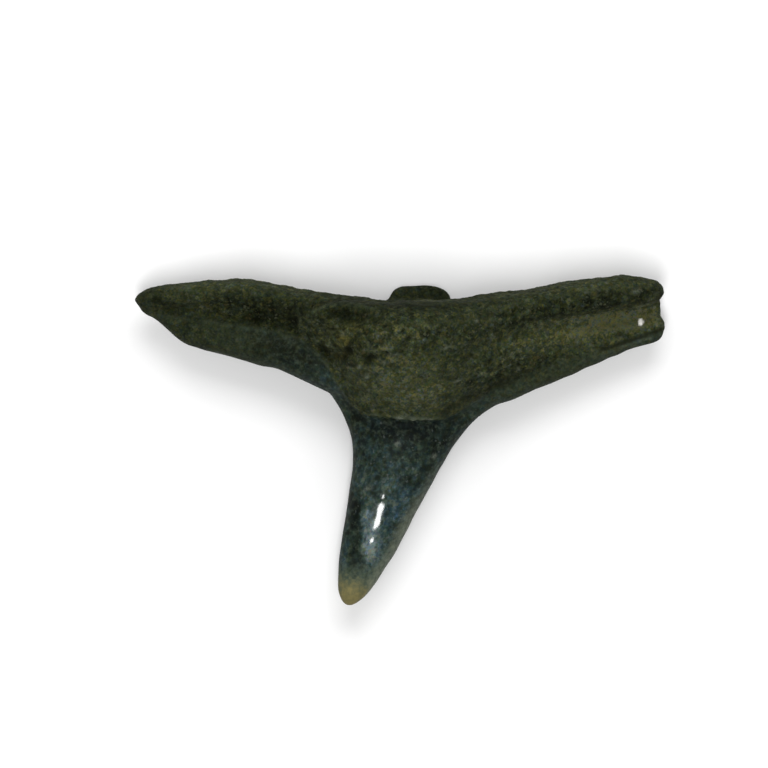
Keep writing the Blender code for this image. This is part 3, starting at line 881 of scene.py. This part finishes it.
def enamel(tree, where, group):
    """Mottled blue-grey enamel over dark stone, turning tan at the tip: its colour and height."""
    along = drawn_out(tree, where, 72.0, 1.4)
    block = shades(tree, sugar(tree, where, ENAMEL_BLOCKS))
    fine = sugar(tree, where, ENAMEL_FINE)
    shade = shades(tree, fine)
    grit = clouds(tree, where, ENAMEL_GRIT, 4.0, 0.65)
    tone = summed(tree, [
        painted(tree, "enamel_tone_and_shading"),
        spread(tree, clouds(tree, along, ENAMEL_CLOUDS, 4.0, 0.65), 0.35, 0.65, -0.21, 0.21),
        spread(tree, grit, 0.3, 0.7, -0.13, 0.13),
        spread(tree, block["Red"], 0.0, 1.0, -0.06, 0.06),
        spread(tree, shade["Red"], 0.0, 1.0, -0.03, 0.03),
    ])
    colour = colours(tree, tone, ENAMEL_COLOURS)
    dull_tone = summed(tree, [
        painted(tree, "enamel_tone_and_shading"),
        spread(tree, clouds(tree, where, DULL_CLOUDS, 5.0, 0.7), 0.3, 0.7, -0.28, 0.28),
        spread(tree, grit, 0.3, 0.7, -0.12, 0.12),
        spread(tree, shade["Green"], 0.0, 1.0, -0.12, 0.12),
    ])
    colour = blended(tree, painted(tree, "dull"), colour, colours(tree, dull_tone, DULL_COLOURS))
    colour = blended(tree, painted(tree, "blue"), colour, BLUER, "MULTIPLY")
    colour = blended(tree, ENAMEL_MOTTLE, colour, fine.outputs["Color"], "OVERLAY")
    colour = tinted(tree, BLOCK_TINT, colour, block["Blue"], *ENAMEL_TINTS)
    colour = tinted(tree, SHADE_TINT, colour, shade["Blue"], *ENAMEL_TINTS)
    worn = maths(tree, "MAXIMUM", painted(tree, "dull"), painted(tree, "tip"))
    unworn = maths(tree, "SUBTRACT", 1.0, worn, True)
    dark = maths(tree, "MULTIPLY", specks(tree, group, along, 0.12, 0.26), unworn)
    dark = maths(tree, "MULTIPLY", dark, 0.55)
    colour = blended(tree, dark, colour, DARK_SPECK)
    bright = maths(tree, "MULTIPLY", specks(tree, group, where, 0.08, 0.12), unworn)
    bright = maths(tree, "MULTIPLY", bright, 0.24)
    colour = blended(tree, bright, colour, BRIGHT_SPECK)
    ragged = spread(tree, grit, 0.3, 0.7, -0.20, 0.20)
    tip = maths(tree, "ADD", painted(tree, "tip"), ragged, True)
    # The tip turns grey and then tan, partly painted light shining through it.
    colour = blended(tree, spread(tree, tip, 0.0, 0.45), colour, TIP_GREY)
    tan = blended(tree, grit, *TIP_TANS)
    colour = blended(tree, spread(tree, tip, 0.35, 0.95), colour, tan)
    thin = maths(tree, "MULTIPLY", painted(tree, "thin"), spread(tree, grit, 0.3, 0.7, 0.3, 0.9))
    colour = blended(tree, thin, colour, THIN_COLOUR)
    # The enamel darkened as painted shade, with some dark sediment, in pits and creases.
    shade_and_sediment = maths(tree, "MULTIPLY", painted(tree, "shade_and_sediment"), 0.9)
    colour = blended(tree, shade_and_sediment, colour, ENAMEL_HOLLOW_SHADE)
    return colour, maths(tree, "MULTIPLY", grit, 0.6)


def tooth_material():
    material = bpy.data.materials.new("fossil_tooth_surface")
    material.use_nodes = True
    tree = material.node_tree
    shader = tree.nodes["Principled BSDF"]
    place = put(tree, "ShaderNodeTexCoord").outputs["Object"]
    where = put(tree, "ShaderNodeMapping", {"Vector": place, "Scale": (PER_METRE,) * 3}).outputs[0]
    group = specks_group()

    slope_colour, slope_height = root_stone(tree, where, group, SLOPE_FLATNESS)
    base_colour, base_height = root_stone(tree, where, group, 1.0)
    facing_back = painted(tree, "facing_back")
    stone_colour = blended(tree, facing_back, slope_colour, base_colour)
    heights = {0: facing_back, 2: slope_height, 3: base_height}
    stone_height = put(tree, "ShaderNodeMix", heights, data_type="FLOAT").outputs[0]
    enamel_colour, enamel_height = enamel(tree, where, group)
    root = painted(tree, "root")
    colour = blended(tree, root, enamel_colour, stone_colour)
    ragged = spread(tree, clouds(tree, where, 0.05, 2.0), 0.35, 0.6, 0.3, 1.0)
    fleck = maths(tree, "MULTIPLY", painted(tree, "fleck"), maths(tree, "MULTIPLY", ragged, 0.7))
    colour = blended(tree, fleck, colour, FLECK)
    # The raised bead in the channel painted white: a painted glint.
    colour = blended(tree, painted(tree, "grain"), colour, WHITE_GLINT)
    tree.links.new(colour, shader.inputs["Base Color"])

    matt = maths(tree, "MAXIMUM", root, maths(tree, "MULTIPLY", painted(tree, "dull"), 0.8))
    worn = spread(tree, clouds(tree, where, 0.12, 2.0), 0.3, 0.7, -0.06, 0.08)
    matt = spread(tree, matt, 0.0, 1.0, ENAMEL_MATT, STONE_MATT)
    roughness = maths(tree, "ADD", matt, worn, True)
    tree.links.new(roughness, shader.inputs["Roughness"])
    tree.links.new(painted(tree, "polish"), shader.inputs["Coat Weight"])
    shader.inputs["Coat Roughness"].default_value = POLISH_MATT
    shader.inputs["Coat IOR"].default_value = POLISH_IOR
    shader.inputs["Specular IOR Level"].default_value = SPECULAR

    heights = {0: root, 2: enamel_height, 3: stone_height}
    height = put(tree, "ShaderNodeMix", heights, data_type="FLOAT").outputs[0]
    sockets = {"Height": height, "Strength": BUMP_STRENGTH, "Distance": BUMP_HEIGHT}
    bump = put(tree, "ShaderNodeBump", sockets)
    tree.links.new(bump.outputs["Normal"], shader.inputs["Normal"])
    return material


def floor_material():
    material = bpy.data.materials.new("pale_floor")
    material.use_nodes = True
    shader = material.node_tree.nodes["Principled BSDF"]
    shader.inputs["Base Color"].default_value = FLOOR_COLOUR
    shader.inputs["Roughness"].default_value = 0.9
    shader.inputs["Specular IOR Level"].default_value = 0.1
    return material


def build_tooth():
    tooth = even_skin(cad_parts["tooth"])
    work_over(tooth)
    bm = bmesh.new()
    bm.from_mesh(tooth.data)
    bmesh.ops.scale(bm, vec=(1 / PER_METRE,) * 3, verts=bm.verts)
    bm.to_mesh(tooth.data)
    bm.free()
    tooth.data.materials.clear()
    tooth.data.materials.append(tooth_material())
    tooth.data.shade_smooth()
    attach(tooth, "root")
    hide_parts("tooth")


def build_floor():
    bm = bmesh.new()
    bmesh.ops.create_grid(bm, x_segments=1, y_segments=1, size=FLOOR_HALF)
    mesh = bpy.data.meshes.new("floor")
    bm.to_mesh(mesh)
    bm.free()
    floor = bpy.data.objects.new("floor", mesh)
    bpy.context.scene.collection.objects.link(floor)
    mesh.materials.append(floor_material())


def aim(thing, place, target):
    """Puts a light or a camera at a place, looking at a target, both in millimetres."""
    thing.location = Vector(place) / PER_METRE
    direction = Vector(target) - Vector(place)
    thing.rotation_euler = direction.to_track_quat("-Z", "Y").to_euler()


def add_camera():
    lens = bpy.data.cameras.new("camera")
    lens.sensor_width = SENSOR
    lens.lens = SENSOR * VIEW_DISTANCE / VIEW_WIDTH
    lens.clip_start = 0.01
    lens.clip_end = 10.0
    camera = bpy.data.objects.new("camera", lens)
    bpy.context.scene.collection.objects.link(camera)
    camera.location = (VIEW_TARGET + Vector((0, 0, VIEW_DISTANCE))) / PER_METRE
    bpy.context.scene.camera = camera


def add_softbox(name, place, width, height, power):
    light = bpy.data.lights.new(name, "AREA")
    light.shape = "RECTANGLE"
    light.size = width / PER_METRE
    light.size_y = height / PER_METRE
    light.energy = power
    softbox = bpy.data.objects.new(name, light)
    bpy.context.scene.collection.objects.link(softbox)
    aim(softbox, place, VIEW_TARGET)


def add_lights():
    add_softbox("upper_softbox", *UPPER_SOFTBOX)
    add_softbox("camera_softbox", *CAMERA_SOFTBOX)
    world = bpy.data.worlds.new("pale_room")
    world.use_nodes = True
    background = world.node_tree.nodes["Background"]
    background.inputs["Color"].default_value = (1.0, 1.0, 1.0, 1.0)
    background.inputs["Strength"].default_value = ROOM_LIGHT
    bpy.context.scene.world = world
    bpy.context.scene.view_settings.view_transform = "Standard"


add_camera()
build_tooth()
build_floor()
add_lights()
